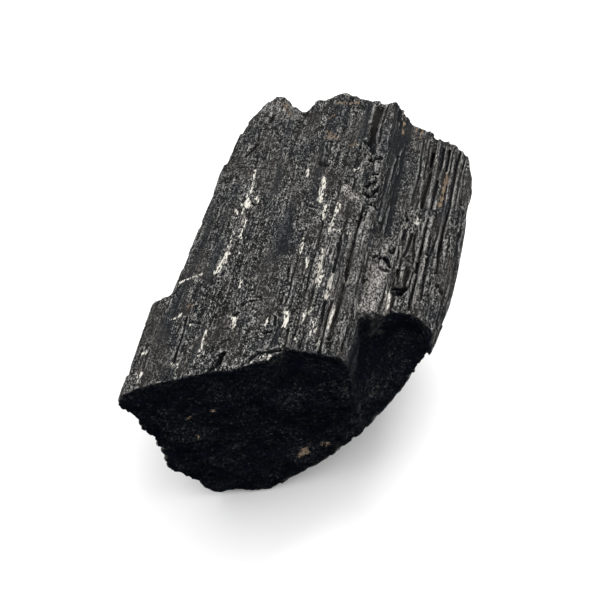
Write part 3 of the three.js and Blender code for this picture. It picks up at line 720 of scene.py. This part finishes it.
    # finish: the tops are glassy, the pits dull, the breaks glassy, the flecks and the stain duller
    gloss = add(tree, "ShaderNodeMapRange", {"From Min": 0.4, "From Max": 0.64, "To Min": 1.0, "To Max": 0.3},
                {"Value": level})
    gloss = add(tree, "ShaderNodeMix", {"data_type": "FLOAT", 3: 0.32}, {"Factor": marks["broken"], 2: gloss})
    gloss = add(tree, "ShaderNodeMix", {"data_type": "FLOAT", 3: 0.6}, {"Factor": soft["fleck_and_glint"], 2: gloss})
    gloss = add(tree, "ShaderNodeMix", {"data_type": "FLOAT", 3: 0.8}, {"Factor": soft["stain"], 2: gloss})
    shader = add(tree, "ShaderNodeBsdfPrincipled", {"IOR": 1.63},
                 {"Base Color": colour.outputs[2], "Roughness": gloss, "Normal": facing})
    add(tree, "ShaderNodeOutputMaterial", None, {"Surface": shader})
    return material


def mark_strength(marks, u, along, soft):
    """The strongest mark at each point, full inside and fading over soft mm about its half width"""
    strength = np.zeros(u.shape)
    for points, half, power in marks:
        away = path_distance(points, u, along)
        strength = np.maximum(strength, power * (1 - ease(half - soft * 0.5, half + soft * 0.5, away)))
    return strength


class TOURMALINE_OT_crystal(bpy.types.Operator):
    """Makes the stone's finished surface over its plain solid"""

    bl_idname = "tourmaline.make_crystal"
    bl_label = "Make the crystal"

    def execute(self, context):
        sizes = context.scene.tourmaline_crystal
        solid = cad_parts[CAD_NODE]
        mesh = solid.data.copy()
        work = bmesh.new()
        work.from_mesh(mesh)
        bmesh.ops.remove_doubles(work, verts=work.verts, dist=1e-6)
        work.to_mesh(mesh)
        work.free()
        stone = bpy.data.objects.new("stone", mesh)
        context.scene.collection.objects.link(stone)
        remesh = stone.modifiers.new("skin", "REMESH")
        remesh.mode = "VOXEL"
        remesh.voxel_size = sizes.voxel
        stone.data = self.evaluated(context, stone)
        stone.modifiers.clear()
        self.smooth(stone.data, sizes.soften)
        thin_here = self.mark_relief(stone.data)
        group = stone.vertex_groups.new(name="thin_here")
        for step in range(1, 6):
            chosen = np.flatnonzero(np.round(thin_here * 5) == step)
            group.add(chosen.tolist(), step / 5, "REPLACE")

        material = stone_material(sizes)
        relief = stone.modifiers.new("relief", "NODES")
        relief.node_group = tree = relief_tree(sizes)
        labels = {sizes.bl_rna.properties[n].name: n for n in sizes.bl_rna.properties.keys()}
        for item in tree.interface.items_tree:
            if item.in_out == "INPUT" and item.name in labels:
                relief[item.identifier] = getattr(sizes, labels[item.name])
            elif item.in_out == "INPUT" and item.name == "Material":
                relief[item.identifier] = material
        stone.data = self.evaluated(context, stone)
        stone.modifiers.clear()
        self.mark_hollows(stone.data)
        thin = stone.modifiers.new("thin", "DECIMATE")
        thin.ratio = sizes.triangles / sum(len(p.vertices) - 2 for p in stone.data.polygons)
        thin.vertex_group = "thin_here"
        thin.vertex_group_factor = 3e-4
        thin.use_collapse_triangulate = True
        finished = self.evaluated(context, stone)
        stone.modifiers.clear()
        stone.data = finished
        stone.vertex_groups.clear()
        stone.name = "crystal"
        self.keep_inside(stone.data)
        self.mark_finish(stone.data)
        stone.data.shade_smooth()
        count = len(stone.data.polygons)
        if not FEWEST_TRIANGLES <= count <= MOST_TRIANGLES:
            raise RuntimeError(f"the stone has {count} triangles")
        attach(stone, "root")
        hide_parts(CAD_NODE)
        return {"FINISHED"}

    @staticmethod
    def evaluated(context, stone):
        """The object's mesh with its modifiers, as a plain mesh"""
        context.view_layer.update()
        graph = context.evaluated_depsgraph_get()
        return bpy.data.meshes.new_from_object(stone.evaluated_get(graph), depsgraph=graph)

    @staticmethod
    def smooth(mesh, rounds):
        """Rounds off the plain solid's facets"""
        move_vertices(mesh, blurred(mesh, places_of(mesh), rounds))

    @staticmethod
    def mark_relief(mesh):
        """Says where the surface is ribbed, stepped, etched, broken and cut. Returns how much it is thinned."""
        place, normal = crystal_frame(mesh)
        u, along, v = place.T
        normal = blurred(mesh, normal, 8)
        normal /= np.linalg.norm(normal, axis=1)[:, None]
        # The breaks face along the axis. The wall of the step between the two near ones and the side of
        # the hollow are broken too. Each pair is where a mark starts and is full, in mm for a place.
        step_wall = ease(8.6, 10.4, u) * ease(14.5, 13.0, u) * ease(29, 26, along) * ease(-1.5, -4, v)
        hollow_side = ease(10.2, 11.2, u) * ease(25.2, 24.2, u) * ease(-6.6, -8.4, v) * ease(34, 30, along)
        hollow_side *= ease(-0.35, -0.1, normal[:, 2])
        broken = np.maximum(ease(0.5, 0.8, np.abs(normal[:, 1])), np.maximum(step_wall, hollow_side))
        front = (ease(0.55, 0.8, normal[:, 2]) * (v > BROAD_FACE_FOOT)
                 * (1 - np.maximum(step_wall, hollow_side)))
        trough = mark_strength([TROUGH], u, along, FADE["trough"]) * front
        face = front * (1 - ease(9.5, 11, u))
        # strong on the lower strip, the sides and the broad face's right part, faint on its left part
        ribbed = (0.9 - 0.6 * face * ease(3, -3, u)) * (1 - broken) * (1 - 0.85 * trough)
        smooth_band = ease(12.0, 12.8, u) * ease(15.6, 14.8, u) * ease(48, 54, along) * front
        ribbed *= 1 - 0.7 * smooth_band
        etched = (1 - broken) * (1 - 0.8 * trough) * (0.6 + 0.4 * face)
        stepped = np.maximum(mark_strength(STEPPED, u, along, FADE["stepped"]) * front, 0.8 * (1 - front))
        stepped *= (1 - broken) * (1 - trough)
        carve = np.zeros(len(u))
        for number, (points, half, depth) in enumerate(CUTS):
            away = path_distance(points, u + wander(along, number, CUT_WANDER), along)
            carve = np.maximum(carve, depth * (1 - ease(0, half * 1.6, away)))
        rise = np.zeros(len(u))
        for number, (points, half, height) in enumerate(RISES):
            away = path_distance(points, u + wander(along, number + 0.5, RISE_WANDER), along)
            rise = np.maximum(rise, height * (1 - ease(half * 0.4, half * 1.3, away)))
        store(mesh, "ribbed", ribbed)
        store(mesh, "stepped", stepped)
        store(mesh, "broken", broken)
        store(mesh, "etched", etched)
        store(mesh, "carve", (carve - rise) * front * MM)
        # the broad faces are thinned the least, and all the rest alike
        return 1 - 0.8 * front

    @staticmethod
    def mark_hollows(mesh):
        """Says how far each point lies below its close surroundings, from which the material paints shade
        into the hollows and highlight onto the ridges
        """
        place, normal = crystal_frame(mesh)
        hollow = ((blurred(mesh, place, 5) - place) * normal).sum(1) / HOLLOW_STEP
        store(mesh, "hollow", np.clip(hollow, -HOLLOW_LIMIT, HOLLOW_LIMIT))

    @staticmethod
    def keep_inside(mesh):
        """Holds the relief inside the plain solid's box"""
        low, high = (np.array(corner, np.float32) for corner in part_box(CAD_NODE))
        move_vertices(mesh, np.clip(places_of(mesh), low, high))

    @staticmethod
    def mark_finish(mesh):
        """Says where the flecks and painted glints, stain, frosted ground, trough and dust are, and how
        dark the cuts are painted as shade
        """
        place, normal = crystal_frame(mesh)
        u, along, v = place.T
        broken, hollow, carve = (values_of(mesh.attributes[name].data, "value")
                                 for name in ("broken", "hollow", "carve"))
        front = ease(0.2, 0.5, normal[:, 2]) * (v > BROAD_FACE_FOOT) * (1 - ease(0.1, 0.5, broken))
        # painted shade: deep cuts are drawn black inside
        store(mesh, "hollow", hollow + CUT_SHADE * ease(0.45, 1.1, carve / MM))
        store(mesh, "fleck_and_glint", mark_strength(FLECKS_AND_GLINTS, u, along, FADE["fleck_and_glint"]) * front)
        stain = mark_strength(STAINS, u, along, FADE["stain"]) * front
        near = ease(0.2, 0.5, -normal[:, 1]) * (v <= NEAR_BREAK_TOP)
        for across, out, half, power in BREAK_GRAINS:
            away = np.hypot(u - across, v - out)
            stain = np.maximum(stain, near * power * (1 - ease(half * 0.6, half * 1.4, away)))
        store(mesh, "stain", stain)
        store(mesh, "frost_and_highlight", mark_strength(FROSTED_AND_HIGHLIGHT, u, along, FADE["frost_and_highlight"]) * front)
        store(mesh, "trough", mark_strength([TROUGH], u, along, FADE["trough"]) * front)
        store(mesh, "dusty", mark_strength(DUSTY, u, v, FADE["dusty"]) * broken)


class TOURMALINE_OT_stage(bpy.types.Operator):
    """Makes the plain floor, the soft lights and the camera"""

    bl_idname = "tourmaline.make_stage"
    bl_label = "Make the stage"

    def execute(self, context):
        sizes = context.scene.tourmaline_stage
        scene = context.scene
        half = sizes.floor_size / 2
        mesh = bpy.data.meshes.new("floor")
        mesh.from_pydata([(-half, -half, 0), (half, -half, 0), (half, half, 0), (-half, half, 0)], [],
                         [(0, 1, 2, 3)])
        floor = bpy.data.objects.new("floor", mesh)
        scene.collection.objects.link(floor)
        paper = bpy.data.materials.new("matt_white_paper")
        paper.use_nodes = True
        shader = paper.node_tree.nodes["Principled BSDF"]
        shader.inputs["Base Color"].default_value = sizes.floor_colour
        shader.inputs["Roughness"].default_value = 0.9
        shader.inputs["Specular IOR Level"].default_value = 0.2
        mesh.materials.append(paper)
        # the stone is lit by the lamps and the sky, not by the paper
        floor.visible_glossy = False
        floor.visible_diffuse = False

        target = CRYSTAL_ORIGIN * MM + AXIS * AIM_ALONG
        # two lamps only glint on the stone, and the one behind gives the relief and the floor their shadows
        for name, toward, width, power, glints in (
            ("softbox", Vector((-0.16, 0.45, 0.88)), sizes.key_size, sizes.key_power, True),
            ("side_light", Vector((0.76, 0.52, 0.36)), sizes.key_size * 1.2, sizes.side_power, True),
            ("back_light", Vector((0.2, 0.5, 0.85)), sizes.key_size * 1.25, sizes.back_power, False),
        ):
            light = bpy.data.lights.new(name, "AREA")
            light.shape = "RECTANGLE"
            light.size = width
            light.size_y = width * 0.8
            light.energy = power
            lamp = bpy.data.objects.new(name, light)
            toward.normalize()
            lamp.location = target + toward * LAMP_DISTANCE
            lamp.rotation_euler = toward.to_track_quat("Z", "Y").to_euler()
            lamp.visible_diffuse = not glints
            lamp.visible_glossy = glints
            scene.collection.objects.link(lamp)

        world = bpy.data.worlds.new("soft_sky")
        world.use_nodes = True
        tree = world.node_tree
        tree.nodes.clear()
        toward = add(tree, "ShaderNodeTexCoord").outputs["Generated"]
        lean = add(tree, "ShaderNodeVectorMath", {"operation": "DOT_PRODUCT", 1: sizes.sky_lean}, {0: toward})
        level = add(tree, "ShaderNodeMath", {"operation": "MULTIPLY_ADD", 1: sizes.sky, 2: sizes.sky},
                    {0: lean.outputs["Value"]})
        rays = add(tree, "ShaderNodeLightPath")
        strength = add(tree, "ShaderNodeMix", {"data_type": "FLOAT", 3: 1.0},
                       {"Factor": rays.outputs["Is Camera Ray"], 2: level})
        sky = add(tree, "ShaderNodeBackground", {"Color": (1, 1, 1, 1)}, {"Strength": strength})
        add(tree, "ShaderNodeOutputWorld", None, {"Surface": sky})
        world.cycles_visibility.glossy = False
        scene.world = world
        scene.view_settings.view_transform = "Standard"

        level_reach = math.cos(CAMERA_ELEVATION)
        back = Vector((math.sin(CAMERA_AZIMUTH) * level_reach, -math.cos(CAMERA_AZIMUTH) * level_reach,
                       math.sin(CAMERA_ELEVATION)))
        lens = bpy.data.cameras.new("camera")
        lens.lens = 90
        lens.sensor_width = 36
        camera = bpy.data.objects.new("camera", lens)
        camera.location = target + back * CAMERA_DISTANCE
        camera.rotation_euler = back.to_track_quat("Z", "Y").to_euler()
        scene.collection.objects.link(camera)
        scene.camera = camera
        return {"FINISHED"}


class TOURMALINE_PT_panel(bpy.types.Panel):
    bl_idname = "TOURMALINE_PT_panel"
    bl_label = "Raw black tourmaline"
    bl_space_type = "VIEW_3D"
    bl_region_type = "UI"
    bl_category = "Tourmaline"

    def draw(self, context):
        for group, operator in ((context.scene.tourmaline_crystal, TOURMALINE_OT_crystal),
                                (context.scene.tourmaline_stage, TOURMALINE_OT_stage)):
            box = self.layout.box()
            box.operator(operator.bl_idname)
            for name in group.__annotations__:
                box.prop(group, name)


CLASSES = (TOURMALINE_PG_crystal, TOURMALINE_PG_stage, TOURMALINE_OT_crystal, TOURMALINE_OT_stage,
           TOURMALINE_PT_panel)


def register():
    for item in CLASSES:
        bpy.utils.register_class(item)
    bpy.types.Scene.tourmaline_crystal = PointerProperty(type=TOURMALINE_PG_crystal)
    bpy.types.Scene.tourmaline_stage = PointerProperty(type=TOURMALINE_PG_stage)


def unregister():
    del bpy.types.Scene.tourmaline_stage
    del bpy.types.Scene.tourmaline_crystal
    for item in reversed(CLASSES):
        bpy.utils.unregister_class(item)


def main():
    register()
    bpy.ops.tourmaline.make_crystal()
    bpy.ops.tourmaline.make_stage()


if __name__ == "__main__":
    main()
